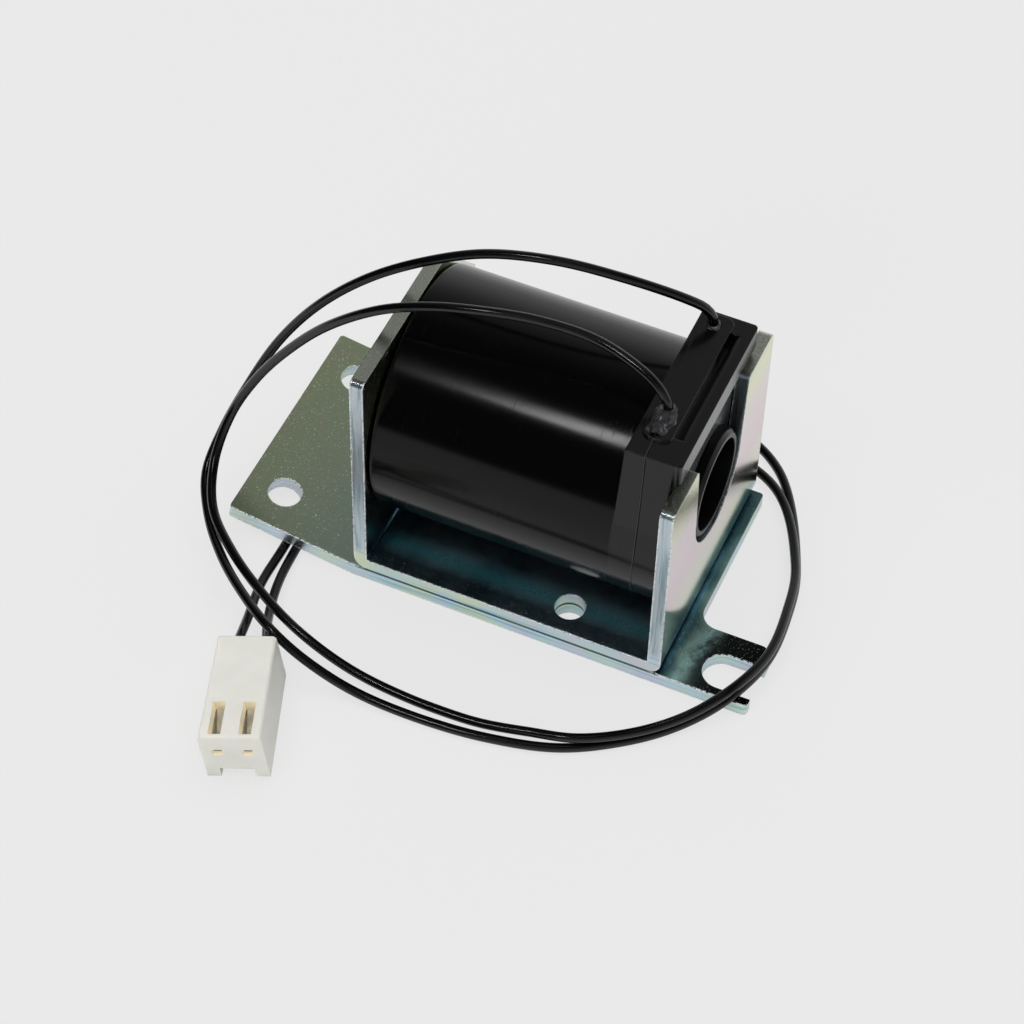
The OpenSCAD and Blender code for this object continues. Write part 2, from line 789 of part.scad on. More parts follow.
module lead_wire_far() {
    color("#141415") lead(far_route);
}

// Puts a shape drawn across X and along Y from the wire end where the plug lies
module at_plug() {
    translate([plug_at.x, plug_at.y, 0])
        rotate([0, 0, plug_turn])
            mirror([0, 1, 0])
                translate([-plug_front_w / 2, 0, 0])
                    rotate([0, -plug_roll, 0])
                        translate([plug_front_w / 2, 0, 0])
                            children();
}

// A box centred across, running along from one station to another and up from one level
module plug_box(across, w, from, to, up, h) {
    translate([across - w / 2, from, up])
        cube([w, to - from, h]);
}

// The housing's outside, wider at the mating end
module plug_body() {
    wire = plug_wire_w / 2;
    front = plug_front_w / 2;
    linear_extrude(plug_h)
        polygon([[-wire, 0], [wire, 0], [front, plug_l], [-front, plug_l]]);
}

// What rounding takes off a long top edge of the housing
module long_edge_bite(side) {
    translate([side * plug_wire_w / 2, 0, plug_h])
        rotate([0, 0, -side * plug_draft])
            mirror([side < 0 ? 1 : 0, 0, 0])
                rotate([90, 0, 0])
                    corner_bite(plug_edge_r, 3 * plug_l);
}

module connector_housing() {
    hole_z = contact_z - pin_hole_h / 2;
    color("#e9e4d6") at_plug() difference() {
        plug_body();
        plug_box(0, plug_front_w - 2 * rail_w, -over, plug_l + over, -over, rail_h + over);
        for (side = [-1, 1]) {
            across = side * plug_pitch / 2;
            long_edge_bite(side);
            plug_box(across, cavity_w, -over, plug_l - plug_wall, cavity_z, cavity_h);
            plug_box(across, pin_hole_w, plug_l - plug_wall - over, plug_l + over, hole_z, pin_hole_h);
            plug_box(across, window_w, window_from, plug_l - plug_wall, contact_z, plug_h);
        }
    }
}

// The locking tongue of a contact, sprung up from the channel's floor into the window
module tongue(across) {
    tip = window_from + contact_t;
    root = window_from + window_l - contact_t;
    translate([across - tongue_w / 2, 0, cavity_z])
        rotate([90, 0, 90])
            linear_extrude(tongue_w)
                polygon([[tip, tongue_h - contact_t], [tip, tongue_h], [root, contact_t], [root, 0]]);
}

// A crimp contact: a barrel on the lead's end, a neck, an open channel and its locking tongue
module contact(side) {
    across = side * plug_pitch / 2;
    channel_from = crimp_in + crimp_l + neck_l;
    channel_to = plug_l - plug_wall - 2 * slip;
    inner_w = contact_w - 2 * contact_t;
    inner_z = cavity_z + contact_t;
    at_plug() {
        translate([across, crimp_in, contact_z])
            rotate([-90, 0, 0])
                cylinder(r = crimp_r, h = crimp_l);
        plug_box(across, crimp_r, crimp_in + crimp_l - over, channel_from + over, cavity_z, contact_rise);
        difference() {
            plug_box(across, contact_w, channel_from, channel_to, cavity_z, contact_h);
            plug_box(across, inner_w, channel_from - over, channel_to + over, inner_z, contact_h);
        }
        tongue(across);
    }
}

module contact_near() {
    color("#b59a5a") contact(1);
}

module contact_far() {
    color("#b59a5a") contact(-1);
}

base_plate();
c_frame();
coil_cover();
bobbin();
winding();
insulation_wrap();
terminal_near();
terminal_far();
glue_near();
glue_far();
pole_piece();
plunger();
lead_wire_near();
lead_wire_far();
connector_housing();
contact_near();
contact_far();
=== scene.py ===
import math

import bpy
import numpy as np
from mathutils import Matrix, Vector


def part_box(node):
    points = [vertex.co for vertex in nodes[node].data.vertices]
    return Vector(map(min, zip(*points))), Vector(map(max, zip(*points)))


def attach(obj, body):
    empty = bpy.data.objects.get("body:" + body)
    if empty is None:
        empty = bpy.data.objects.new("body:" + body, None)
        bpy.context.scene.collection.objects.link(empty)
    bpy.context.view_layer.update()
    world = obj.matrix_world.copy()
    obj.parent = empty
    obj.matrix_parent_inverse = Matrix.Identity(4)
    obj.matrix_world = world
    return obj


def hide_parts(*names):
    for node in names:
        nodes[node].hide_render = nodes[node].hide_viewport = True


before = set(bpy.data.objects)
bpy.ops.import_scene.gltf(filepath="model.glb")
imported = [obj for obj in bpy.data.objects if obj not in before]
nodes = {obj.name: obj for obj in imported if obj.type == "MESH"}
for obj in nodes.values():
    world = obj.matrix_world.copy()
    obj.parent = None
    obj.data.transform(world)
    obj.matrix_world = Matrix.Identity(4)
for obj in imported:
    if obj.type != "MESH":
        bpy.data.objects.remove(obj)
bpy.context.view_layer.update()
MM = 0.001

# Camera, in millimetres and degrees: a short telephoto look down on the near side, with a slight roll
CAMERA_EYE = (99.73, -256.74, 337.48)
CAMERA_AIM = (-0.41, -15.14, 21.72)
CAMERA_ROLL = 1.75
CAMERA_LENS = 111.58
SENSOR_WIDTH = 36
CLIP_START = 10


def linear(hex_colour):
    """An sRGB hex colour such as "#8090a0" as linear RGBA."""
    parts = np.array([int(hex_colour[i:i + 2], 16) for i in (1, 3, 5)]) / 255
    values = np.where(parts <= 0.04045, parts / 12.92, ((parts + 0.055) / 1.055) ** 2.4)
    return (*values.tolist(), 1.0)


def add_camera():
    """Looks from the eye to the aim point and turns about the line of sight by the roll."""
    eye, aim = Vector(CAMERA_EYE) * MM, Vector(CAMERA_AIM) * MM
    turn = (aim - eye).to_track_quat("-Z", "Y").to_matrix().to_4x4()
    roll = Matrix.Rotation(math.radians(CAMERA_ROLL), 4, "Z")
    data = bpy.data.cameras.new("camera")
    data.lens = CAMERA_LENS
    data.sensor_width = SENSOR_WIDTH
    data.clip_start = CLIP_START * MM
    camera = bpy.data.objects.new("camera", data)
    camera.matrix_world = Matrix.Translation(eye) @ turn @ roll
    bpy.context.scene.collection.objects.link(camera)
    bpy.context.scene.camera = camera


add_camera()


def add_piece(name, points, faces, material):
    """A smooth mesh of the given points and faces, in metres, that rides on the frame."""
    mesh = bpy.data.meshes.new(name)
    mesh.from_pydata(points.tolist(), [], faces)
    mesh.polygons.foreach_set("use_smooth", np.full(len(mesh.polygons), True))
    mesh.materials.append(material)
    piece = bpy.data.objects.new(name, mesh)
    bpy.context.scene.collection.objects.link(piece)
    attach(piece, "frame")
    return piece


def grid_faces(rings, around):
    """Quads between neighbouring rings of points, each ring closed on itself."""
    ring, spoke = np.meshgrid(np.arange(rings - 1), np.arange(around), indexing="ij")
    a = ring * around + spoke
    b = ring * around + (spoke + 1) % around
    return np.stack([a, b, b + around, a + around], axis=-1).reshape(-1, 4).tolist()


def smooth_path(points, step):
    """A centripetal Catmull-Rom curve through the points, with a sample about every step."""
    p = np.asarray(points, float)
    p = np.vstack([2 * p[0] - p[1], p, 2 * p[-1] - p[-2]])
    out = []
    for p0, p1, p2, p3 in zip(p[:-3], p[1:-2], p[2:-1], p[3:]):
        t1 = np.linalg.norm(p1 - p0) ** 0.5
        t2 = t1 + np.linalg.norm(p2 - p1) ** 0.5
        t3 = t2 + np.linalg.norm(p3 - p2) ** 0.5
        count = max(2, round(np.linalg.norm(p2 - p1) / step))
        t = np.linspace(t1, t2, count, endpoint=False)[:, None]
        a1 = p0 + (p1 - p0) * t / t1
        a2 = p1 + (p2 - p1) * (t - t1) / (t2 - t1)
        a3 = p2 + (p3 - p2) * (t - t2) / (t3 - t2)
        b1 = a1 + (a2 - a1) * t / t2
        b2 = a2 + (a3 - a2) * (t - t1) / (t3 - t1)
        out.append(b1 + (b2 - b1) * (t - t1) / (t2 - t1))
    return np.vstack([*out, p[-2:-1]])


def ring_frames(path):
    """Two side vectors at each point of a path, carried along it without twist."""
    tangent = np.gradient(path, axis=0)
    tangent /= np.linalg.norm(tangent, axis=1)[:, None]
    side = np.zeros_like(path)
    last = np.array([0.0, 1.0, 0.0])
    for i, t in enumerate(tangent):
        last = last - (last @ t) * t
        last = last / np.linalg.norm(last)
        side[i] = last
    return side, np.cross(tangent, side)


def tube(path, radius, around=16):
    """A round tube with end caps: ring i at angle a is path[i] + radius (cos a side + sin a up)."""
    side, up = ring_frames(path)
    angle = np.linspace(0, 2 * np.pi, around, endpoint=False)[None, :, None]
    wheel = np.cos(angle) * side[:, None] + np.sin(angle) * up[:, None]
    points = (path[:, None] + radius * wheel).reshape(-1, 3)
    last = (len(path) - 1) * around
    caps = [list(range(around))[::-1], list(range(last, last + around))]
    return points, grid_faces(len(path), around) + caps


# Plug, in millimetres: the middle of its wire end, its turn, its roll on one rail and its contacts
PLUG_AT = (-26.4, -38.5)
PLUG_TURN = math.radians(18.8)
PLUG_ROLL = math.radians(7.1)
PLUG_HALF = 4.15
CONTACT_ACROSS = 1.98
CONTACT_UP = 5.1
CRIMP_IN = 3
LEAD_RUN = 0.6


def plug_point(across, along, up):
    """A point given across the plug, along it from its wire end, and up from its rails."""
    reach = across + PLUG_HALF
    out = reach * math.cos(PLUG_ROLL) - up * math.sin(PLUG_ROLL) - PLUG_HALF
    return [
        PLUG_AT[0] + out * math.cos(PLUG_TURN) + along * math.sin(PLUG_TURN),
        PLUG_AT[1] + out * math.sin(PLUG_TURN) - along * math.cos(PLUG_TURN),
        reach * math.sin(PLUG_ROLL) + up * math.cos(PLUG_ROLL),
    ]


# Routes of the two leads, in millimetres, from the terminals in the block to the crimps in the plug
LEAD_D = 1.3
LEAD_STEP = 1.0
PAD_RISE = 0.3
BLOCK_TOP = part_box("coil_cover")[1].z / MM - PAD_RISE
FAR_ROUTE = [
    [16.1, 10.8, 31.5], [16.1, 10.8, BLOCK_TOP],
    [15.9, 10.8, 40.6], [14.9, 10.5, 42.2], [12.6, 9.6, 43.7], [4.8, 7.4, 46.2], [-4.2, 5.6, 47.2],
    [-13.2, 4, 46], [-20.7, 2, 43.2], [-27.9, 0.4, 38.6], [-34.5, -1.2, 32.2], [-39.7, -3.2, 24.8],
    [-43.2, -6.4, 17.4], [-45.4, -10.4, 11.2], [-45.6, -15.2, 7.4], [-42.6, -20.6, 5.8],
    [-37.6, -26.3, 5.7], [-32.1, -31, 6.2], [-26.6, -34.6, 6.4], [-21.3, -35.9, 4.3],
    [-13.9, -36.2, 1.5], [-4.9, -36.2, 0.7], [5.4, -35.3, 0.7], [14.9, -32.7, 0.7], [23.2, -27.3, 0.7],
    [28.3, -22.6, 1.4], [32.1, -17.9, 2.9], [34.5, -10.3, 2.9], [34.2, -1.5, 2.1], [32.1, 8, 0.8],
    [23.6, 23.5, 0.7], [14, 28.4, 0.7], [-10, 28.6, 0.7], [-28, 25.2, 0.7], [-33, 18.6, 0.7],
    [-32.8, -17.8, 0.7], [-32.5, -25.2, 1.4], [-30.8, -32.3, 3.1],
    plug_point(-CONTACT_ACROSS, -LEAD_RUN, CONTACT_UP), plug_point(-CONTACT_ACROSS, CRIMP_IN, CONTACT_UP),
]
NEAR_ROUTE = [
    [16.5, -5.6, 35], [16.5, -5.6, BLOCK_TOP],
    [16.3, -5.5, 40.6], [15.3, -5.2, 42.2], [13, -4.4, 43.4], [5.7, -2.8, 44.8], [-2.2, -3.5, 45.7],
    [-9.8, -5, 45.6], [-16.3, -6, 44.4], [-23, -6.6, 41.4], [-30.2, -6.9, 35.6], [-35.8, -7.1, 29],
    [-41, -7.8, 21.2], [-44, -10.2, 14.8], [-44.3, -14.9, 10.2], [-41.9, -20.4, 7.5],
    [-36.7, -25.2, 6.4], [-30, -29.2, 5], [-23.3, -31.9, 3.6], [-15.3, -33.3, 1.6], [-6.3, -33.8, 0.7],
    [2.9, -33.6, 0.7], [10.2, -32.6, 1.4], [16.6, -31.4, 2.2], [23.1, -27.3, 2.2], [28.2, -22.7, 2.9],
    [32, -17.9, 4.4], [34.5, -10.5, 4.4], [34.1, -1.6, 3.6], [31.9, 7.8, 2.2], [24, 19.9, 1.6],
    [6, 25, 0.7], [-14, 25, 0.7], [-27, 22.6, 0.7], [-31.4, 17.8, 0.7], [-31.2, -16.8, 0.7],
    [-30.4, -24.4, 1.4], [-28.4, -31.2, 2.7],
    plug_point(CONTACT_ACROSS, -LEAD_RUN, CONTACT_UP), plug_point(CONTACT_ACROSS, CRIMP_IN, CONTACT_UP),
]


# Every output of a node, and the colour sockets of a Mix node
ALL = slice(None)
MIX_A, MIX_B, MIX_OUT = 6, 7, 2


def add(tree, kind, inputs=(), out=0, stops=(), **settings):
    """Adds a node and gives back its output; an input is a value, or the output that feeds it."""
    made = tree.nodes.new("ShaderNode" + kind)
    for key, value in settings.items():
        setattr(made, key, value)
    if stops:
        elements = made.color_ramp.elements
        while len(elements) < len(stops):
            elements.new(1.0)
        for element, (place, colour) in zip(elements, stops):
            element.position, element.color = place, linear(colour)
    for key, value in inputs.items() if isinstance(inputs, dict) else enumerate(inputs):
        if isinstance(value, bpy.types.NodeSocket):
            tree.links.new(value, made.inputs[key])
        else:
            made.inputs[key].default_value = value
    return made.outputs[out] if made.outputs else None


def new_material(name):
    """An empty material and its tree of nodes."""
    material = bpy.data.materials.new(name)
    material.use_nodes = True
    tree = material.node_tree
    tree.nodes.clear()
    return material, tree


def finish_material(tree, inputs):
    """Feeds a Principled shader with the given inputs to the material's surface."""
    add(tree, "OutputMaterial", {"Surface": add(tree, "BsdfPrincipled", inputs)})


def per_mm(size):
    """A texture scale at which one feature is about this many millimetres wide."""
    return 1 / (size * MM)


# Ranges of a normal's part along an axis, from where a face starts to count as facing that way, or as not
FACES_IT = (0.9, 0.98)
FACES_UP = (0.8, 0.95)
FACES_AWAY = (0.6, 0.4)

# How far edges look rounded, in metres, and how finely that is worked out
EDGE_R = 0.2 * MM
COVER_EDGE_R = 0.3 * MM
ARRIS_R = 0.45 * MM
EDGE_SAMPLES = 6

# Depth of a moulding's grain, in metres
GRAIN_DEPTH = 0.02 * MM

# Places that the looks of the steel follow, in metres; a pair is where a change starts and where it ends
SEAM_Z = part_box("c_frame")[0].z
FRAME_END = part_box("c_frame")[1].x
BEND_X = FRAME_END - 1.3 * MM
BEND_TOP = SEAM_Z + 4 * MM
FADE = 0.5 * MM
OFF_BEND = (1.4 * MM, 1.5 * MM)
OFF_SEAM = (0.3 * MM, 0.12 * MM)
LEG_TOPS_Z = (28 * MM, 30 * MM)
MOTTLE_Y = (-8 * MM, 16 * MM)
# Where the painted teal sheen lies: a slanting streak across the ear, and one along the frame's floor
EAR_STREAK_X = 27.7 * MM
EAR_STREAK_SLANT = 0.2
OFF_EAR_STREAK = (1.7 * MM, 0.3 * MM)
FLOOR_STREAK_Y = -12.8 * MM
OFF_FLOOR_STREAK = (2.4 * MM, 0.4 * MM)
FLOOR_STREAK_END = (BEND_X, BEND_X - 2.5 * MM)

# Places that the skin of the cover follows, in metres: the lead block's start and foot, and where the
# painted reflection on its lip's face fades at the ends
BLOCK_X = (13.6 * MM, 13.8 * MM)
BLOCK_Z = (18 * MM, 28 * MM)
LIP_REFLECTION_FAR_Y = (6.2 * MM, 3.2 * MM)
LIP_REFLECTION_NEAR_Y = (-13 * MM, -9 * MM)


def cut_edges(tree, at, facing):
    """Where the sheet was cut: flat sides, edges of the upright legs, and walls of holes and slots."""
    face_x, face_y, face_z = [add(tree, "Math", (axis,), operation="ABSOLUTE") for axis in facing]
    side = add(tree, "MapRange", (face_y, *FACES_IT))
    above_bend = add(tree, "MapRange", (at[2], BEND_TOP, BEND_TOP + FADE))
    not_front = add(tree, "MapRange", (face_x, *FACES_AWAY))
    upright = add(tree, "Math", (not_front, above_bend), operation="MULTIPLY")
    from_middle = add(tree, "Math", (at[0],), operation="ABSOLUTE")
    from_bend = add(tree, "Math", (from_middle, BEND_X), operation="SUBTRACT")
    from_bend = add(tree, "Math", (from_bend,), operation="ABSOLUTE")
    off_bend = add(tree, "MapRange", (from_bend, *OFF_BEND))
    not_flat = add(tree, "MapRange", (face_z, *FACES_AWAY))
    wall = add(tree, "Math", (not_flat, off_bend), operation="MULTIPLY")
    edge = add(tree, "Math", (upright, wall), operation="MAXIMUM")
    return add(tree, "Math", (side, edge), operation="MAXIMUM")


def seam(tree, at):
    """A thin line where the frame lies on the base plate."""
    off_seam = add(tree, "Math", (at[2], SEAM_Z), operation="SUBTRACT")
    off_seam = add(tree, "Math", (off_seam,), operation="ABSOLUTE")
    line = add(tree, "MapRange", (off_seam, *OFF_SEAM))
    from_middle = add(tree, "Math", (at[0],), operation="ABSOLUTE")
    under_frame = add(tree, "MapRange", (from_middle, FRAME_END, FRAME_END - FADE))
    return add(tree, "Math", (line, under_frame), operation="MULTIPLY")


def cut_tint(tree, place, at):
    """Colours of a cut edge: iridescent streaks along the lying sheet, greyer scored ones up the legs."""
    sheet_tints = [
        (0.34, "#a2cce2"), (0.43, "#dae9ee"), (0.53, "#e6ede2"), (0.61, "#dce9ee"), (0.7, "#c9d2ea"),
    ]
    along_sheet = add(tree, "Mapping", {"Vector": place, "Scale": (0.03, 0.03, 1)})
    streak = add(tree, "TexNoise", {"Vector": along_sheet, "Scale": per_mm(0.9), "Detail": 3.0})
    sheet = add(tree, "ValToRGB", (streak,), stops=sheet_tints)
    hues = [(0.38, "#eef4d2"), (0.5, "#d8eef6"), (0.62, "#e8e0f6")]
    wandering = add(tree, "TexNoise", {"Vector": place, "Scale": per_mm(8)})
    hue = add(tree, "ValToRGB", (wandering,), stops=hues)
    sheet = add(tree, "Mix", {0: 0.7, MIX_A: sheet, MIX_B: hue}, MIX_OUT, data_type="RGBA",
                blend_type="MULTIPLY")
    leg_tints = [(0.36, "#98abb4"), (0.48, "#b9c9d0"), (0.6, "#c6d0d5"), (0.7, "#d0ccda")]
    up_leg = add(tree, "Mapping", {"Vector": place, "Scale": (1, 0.3, 0.04)})
    score = add(tree, "TexNoise", {"Vector": up_leg, "Scale": per_mm(0.32), "Detail": 4.0})
    leg = add(tree, "ValToRGB", (score,), stops=leg_tints)
    above = add(tree, "MapRange", (at[2], BEND_TOP - 2 * FADE, BEND_TOP + FADE))
    return add(tree, "Mix", {0: above, MIX_A: sheet, MIX_B: leg}, MIX_OUT, data_type="RGBA")


def near_arris_glints(tree, normal, grain):
    """Painted glints in grains along the arrises of the near side, where the softened normal turns away."""
    soft = add(tree, "Bevel", (ARRIS_R,), samples=EDGE_SAMPLES)
    flat = add(tree, "VectorMath", (soft, normal), "Value", operation="DOT_PRODUCT")
    turned = add(tree, "MapRange", (flat, 0.985, 0.93))
    near = add(tree, "MapRange", (add(tree, "SeparateXYZ", (soft,), "Y"), -0.12, -0.3))
    edge = add(tree, "Math", (turned, near), operation="MULTIPLY")
    grains = add(tree, "MapRange", (grain, 0.42, 0.5))
    return add(tree, "Math", (edge, grains), operation="MULTIPLY")


def painted_sheen_streaks(tree, place, at, lying):
    """Where teal sheen is painted: grainy streaks on what lies flat, a slanting one on the ear and one along
    the frame's floor.
    """
    slant = add(tree, "Math", (at[1], EAR_STREAK_SLANT), operation="MULTIPLY")
    across_ear = add(tree, "Math", (at[0], slant), operation="SUBTRACT")
    off_ear = add(tree, "Math", (across_ear, EAR_STREAK_X), operation="SUBTRACT")
    off_ear = add(tree, "Math", (off_ear,), operation="ABSOLUTE")
    on_ear = add(tree, "MapRange", (off_ear, *OFF_EAR_STREAK))
    cloud = add(tree, "TexNoise", {"Vector": place, "Scale": per_mm(1.6), "Detail": 4.0})
    patches = add(tree, "MapRange", (cloud, 0.34, 0.54))
    ear = add(tree, "Math", (on_ear, patches), operation="MULTIPLY")
    off_floor = add(tree, "Math", (at[1], FLOOR_STREAK_Y), operation="SUBTRACT")
    off_floor = add(tree, "Math", (off_floor,), operation="ABSOLUTE")
    on_floor = add(tree, "MapRange", (off_floor, *OFF_FLOOR_STREAK, 0, 0.58))
    from_middle = add(tree, "Math", (at[0],), operation="ABSOLUTE")
    inside = add(tree, "MapRange", (from_middle, *FLOOR_STREAK_END))
    floor = add(tree, "Math", (on_floor, inside), operation="MULTIPLY")
    streaks = add(tree, "Math", (ear, floor), operation="MAXIMUM")
    fine = add(tree, "TexNoise", {"Vector": place, "Scale": per_mm(0.25)})
    grainy = add(tree, "MapRange", (fine, 0.35, 0.65, 0.6, 1.4))
    streaks = add(tree, "Math", (streaks, grainy), operation="MULTIPLY")
    return add(tree, "Math", (streaks, lying), operation="MULTIPLY")


def zinc_steel(name, drift, reach, wander, tints, roughness, floor_roughness, sheen_tint, sheen_share):
    """Zinc-plated sheet: a satin passivate that drifts in colour, with painted reflection and sheen in
    places, pale cut edges, and painted glints along the near arrises.
    """
    material, tree = new_material(name)
    place = add(tree, "TexCoord", out="Object")
    at = add(tree, "SeparateXYZ", (place,), ALL)
    normal = add(tree, "NewGeometry", out="True Normal")
    facing = add(tree, "SeparateXYZ", (normal,), ALL)

    # The passivate's drift of colour along the sheet, which also paints reflection on the ear and the
    # frame's floor, with clouds, a fine mottle and pale specks
    along = add(tree, "VectorMath", (place, drift), "Value", operation="DOT_PRODUCT")
    cloud = add(tree, "TexNoise", {"Vector": place, "Scale": per_mm(7)})
    stray = add(tree, "MapRange", (cloud, 0.3, 0.7, -wander, wander))
    shift = add(tree, "Math", (add(tree, "MapRange", (along, *reach)), stray), operation="ADD")
    tint = add(tree, "ValToRGB", (shift,), stops=tints)
    mottle_tints = [(0.35, "#b4d8bc"), (0.5, "#dfe0c0"), (0.65, "#d8cdd8")]
    blotch = add(tree, "TexNoise", {"Vector": place, "Scale": per_mm(2.2), "Detail": 4.0})
    mottle = add(tree, "ValToRGB", (blotch,), stops=mottle_tints)
    far_side = add(tree, "MapRange", (at[1], *MOTTLE_Y, 0.16, 0.34))
    tint = add(tree, "Mix", {0: far_side, MIX_A: tint, MIX_B: mottle}, MIX_OUT, data_type="RGBA",
               blend_type="MULTIPLY")
    dust = add(tree, "TexNoise", {"Vector": place, "Scale": per_mm(0.28)})
    speck = add(tree, "MapRange", (dust, 0.63, 0.7, 0, 0.35))
    tint = add(tree, "Mix", {0: speck, MIX_A: tint, MIX_B: linear("#eef2ee")}, MIX_OUT, data_type="RGBA")

    # Streaks of painted teal sheen on what lies flat, then the cut edges and the tops of the legs
    upward = add(tree, "MapRange", (facing[2], *FACES_UP))
    low = add(tree, "MapRange", (at[2], BEND_TOP, BEND_TOP - FADE))
    lying = add(tree, "Math", (upward, low), operation="MULTIPLY")
    sheen = painted_sheen_streaks(tree, place, at, lying)
    sheen_veil = add(tree, "Math", (sheen, sheen_share), operation="MULTIPLY")
    tint = add(tree, "Mix", {0: sheen_veil, MIX_A: tint, MIX_B: linear(sheen_tint)}, MIX_OUT, data_type="RGBA")
    cut = cut_edges(tree, at, facing)
    edge_tint = cut_tint(tree, place, at)
    tint = add(tree, "Mix", {0: cut, MIX_A: tint, MIX_B: edge_tint}, MIX_OUT, data_type="RGBA")
    sheared = add(tree, "TexNoise", {"Vector": place, "Scale": per_mm(0.2)})
    top_tint = add(tree, "ValToRGB", (sheared,), stops=[(0.35, "#a4aa9d"), (0.65, "#cbd0c5")])
    high = add(tree, "MapRange", (at[2], *LEG_TOPS_Z))
    leg_top = add(tree, "Math", (upward, high), operation="MULTIPLY")
    tint = add(tree, "Mix", {0: leg_top, MIX_A: tint, MIX_B: top_tint}, MIX_OUT, data_type="RGBA")

    # The dark line between frame and plate, and painted glints along the near arrises
    line_tints = [(0.4, "#23507c"), (0.5, "#2c5a5c"), (0.6, "#456e38")]
    change = add(tree, "TexNoise", {"Vector": place, "Scale": per_mm(9)})
    line_tint = add(tree, "ValToRGB", (change,), stops=line_tints)
    joint_line = add(tree, "Math", (seam(tree, at), cut), operation="MULTIPLY")
    tint = add(tree, "Mix", {0: joint_line, MIX_A: tint, MIX_B: line_tint}, MIX_OUT, data_type="RGBA")
    grain = add(tree, "TexNoise", {"Vector": place, "Scale": per_mm(0.35), "Detail": 3.0})
    arris_glint = near_arris_glints(tree, normal, grain)
    arris_glint = add(tree, "Math", (arris_glint, joint_line), operation="SUBTRACT", use_clamp=True)
    tint = add(tree, "Mix", {0: arris_glint, MIX_A: tint, MIX_B: linear("#f6f9f8")}, MIX_OUT, data_type="RGBA")

    # Where painted glints or painted sheen are, or dust, less of a mirror; cut edges are hazier than the
    # sheet
    dusty = add(tree, "Math", (speck, 0.86), operation="MULTIPLY")
    sheen_dull = add(tree, "Math", (sheen, 0.28), operation="MULTIPLY")
    dull = add(tree, "Math", (arris_glint, dusty), operation="MAXIMUM")
    dull = add(tree, "Math", (dull, sheen_dull), operation="MAXIMUM")
    haze = add(tree, "MapRange", (lying, 0, 1, roughness, floor_roughness))
    cut_haze = add(tree, "Math", (cut, 0.3), operation="MULTIPLY")
    softened = add(tree, "Bevel", (EDGE_R,), samples=EDGE_SAMPLES)
    finish_material(tree, {
        "Base Color": tint, "Metallic": add(tree, "MapRange", (dull, 0, 1, 1.0, 0.2)),
        "Roughness": add(tree, "Math", (haze, cut_haze), operation="MAXIMUM"),
        "Normal": add(tree, "Bump", {
            "Strength": 0.18, "Distance": 0.03 * MM, "Height": grain, "Normal": softened,
        }),
    })
    return material


def cover_moulding():
    """Black moulded cover: a glossy barrel with hair-fine scratches, and a lead block with a duller skin
    whose lip face is paler with painted reflection.
    """
    material, tree = new_material("glossy_black_moulding")
    place = add(tree, "TexCoord", out="Object")
    x, y, z = add(tree, "SeparateXYZ", (place,), ALL)
    forward = add(tree, "MapRange", (x, *BLOCK_X))
    high = add(tree, "MapRange", (z, *BLOCK_Z))
    block = add(tree, "Math", (forward, high), operation="MULTIPLY")
    normal = add(tree, "NewGeometry", out="True Normal")
    front = add(tree, "MapRange", (add(tree, "SeparateXYZ", (normal,), "X"), *FACES_IT))
    # Painted reflection: the lip's front face is paler, fading out towards both ends
    lip_reflection = add(tree, "Math", (block, front), operation="MULTIPLY")
    far_end = add(tree, "MapRange", (y, *LIP_REFLECTION_FAR_Y))
    lip_reflection = add(tree, "Math", (lip_reflection, far_end), operation="MULTIPLY")
    near_end = add(tree, "MapRange", (y, *LIP_REFLECTION_NEAR_Y))
    lip_reflection = add(tree, "Math", (lip_reflection, near_end), operation="MULTIPLY")
    skin = add(tree, "Mix", {0: block, MIX_A: linear("#030304"), MIX_B: linear("#070708")}, MIX_OUT,
               data_type="RGBA")
    round_barrel = add(tree, "Mapping", {"Vector": place, "Scale": (1, 0.06, 0.06)})
    hairs = add(tree, "TexNoise", {"Vector": round_barrel, "Scale": per_mm(0.15)})
    scratch = add(tree, "MapRange", (hairs, 0.62, 0.7, 0, 0.2))
    cloud = add(tree, "TexNoise", {"Vector": place, "Scale": per_mm(6)})
    worn = add(tree, "Math", (scratch, add(tree, "MapRange", (cloud, 0.45, 0.65))), operation="MULTIPLY")
    gloss = add(tree, "MapRange", (block, 0, 1, 0.15, 0.2))
    finish_material(tree, {
        "Base Color": add(tree, "Mix", {0: lip_reflection, MIX_A: skin, MIX_B: linear("#4a4a4c")}, MIX_OUT,
                          data_type="RGBA"),
        "Roughness": add(tree, "Math", (gloss, worn), operation="ADD"),
        "Specular IOR Level": add(tree, "MapRange", (block, 0, 1, 0.2, 0.4)),
        "Normal": add(tree, "Bump", {
            "Strength": 0.03, "Distance": GRAIN_DEPTH,
            "Height": add(tree, "TexNoise", {"Vector": place, "Scale": per_mm(0.4)}),
            "Normal": add(tree, "Bevel", (COVER_EDGE_R,), samples=EDGE_SAMPLES),
        }),
    })
    return material


def smooth_plastic(name, colour, roughness, specular=0.5):
    """Smooth satin plastic with softened edges."""
    material, tree = new_material(name)
    place = add(tree, "TexCoord", out="Object")
    finish_material(tree, {
        "Base Color": linear(colour), "Roughness": roughness, "Specular IOR Level": specular,
        "Normal": add(tree, "Bump", {
            "Strength": 0.03, "Distance": GRAIN_DEPTH,
            "Height": add(tree, "TexNoise", {"Vector": place, "Scale": per_mm(0.4)}),
            "Normal": add(tree, "Bevel", (EDGE_R,), samples=EDGE_SAMPLES),
        }),
    })
    return material


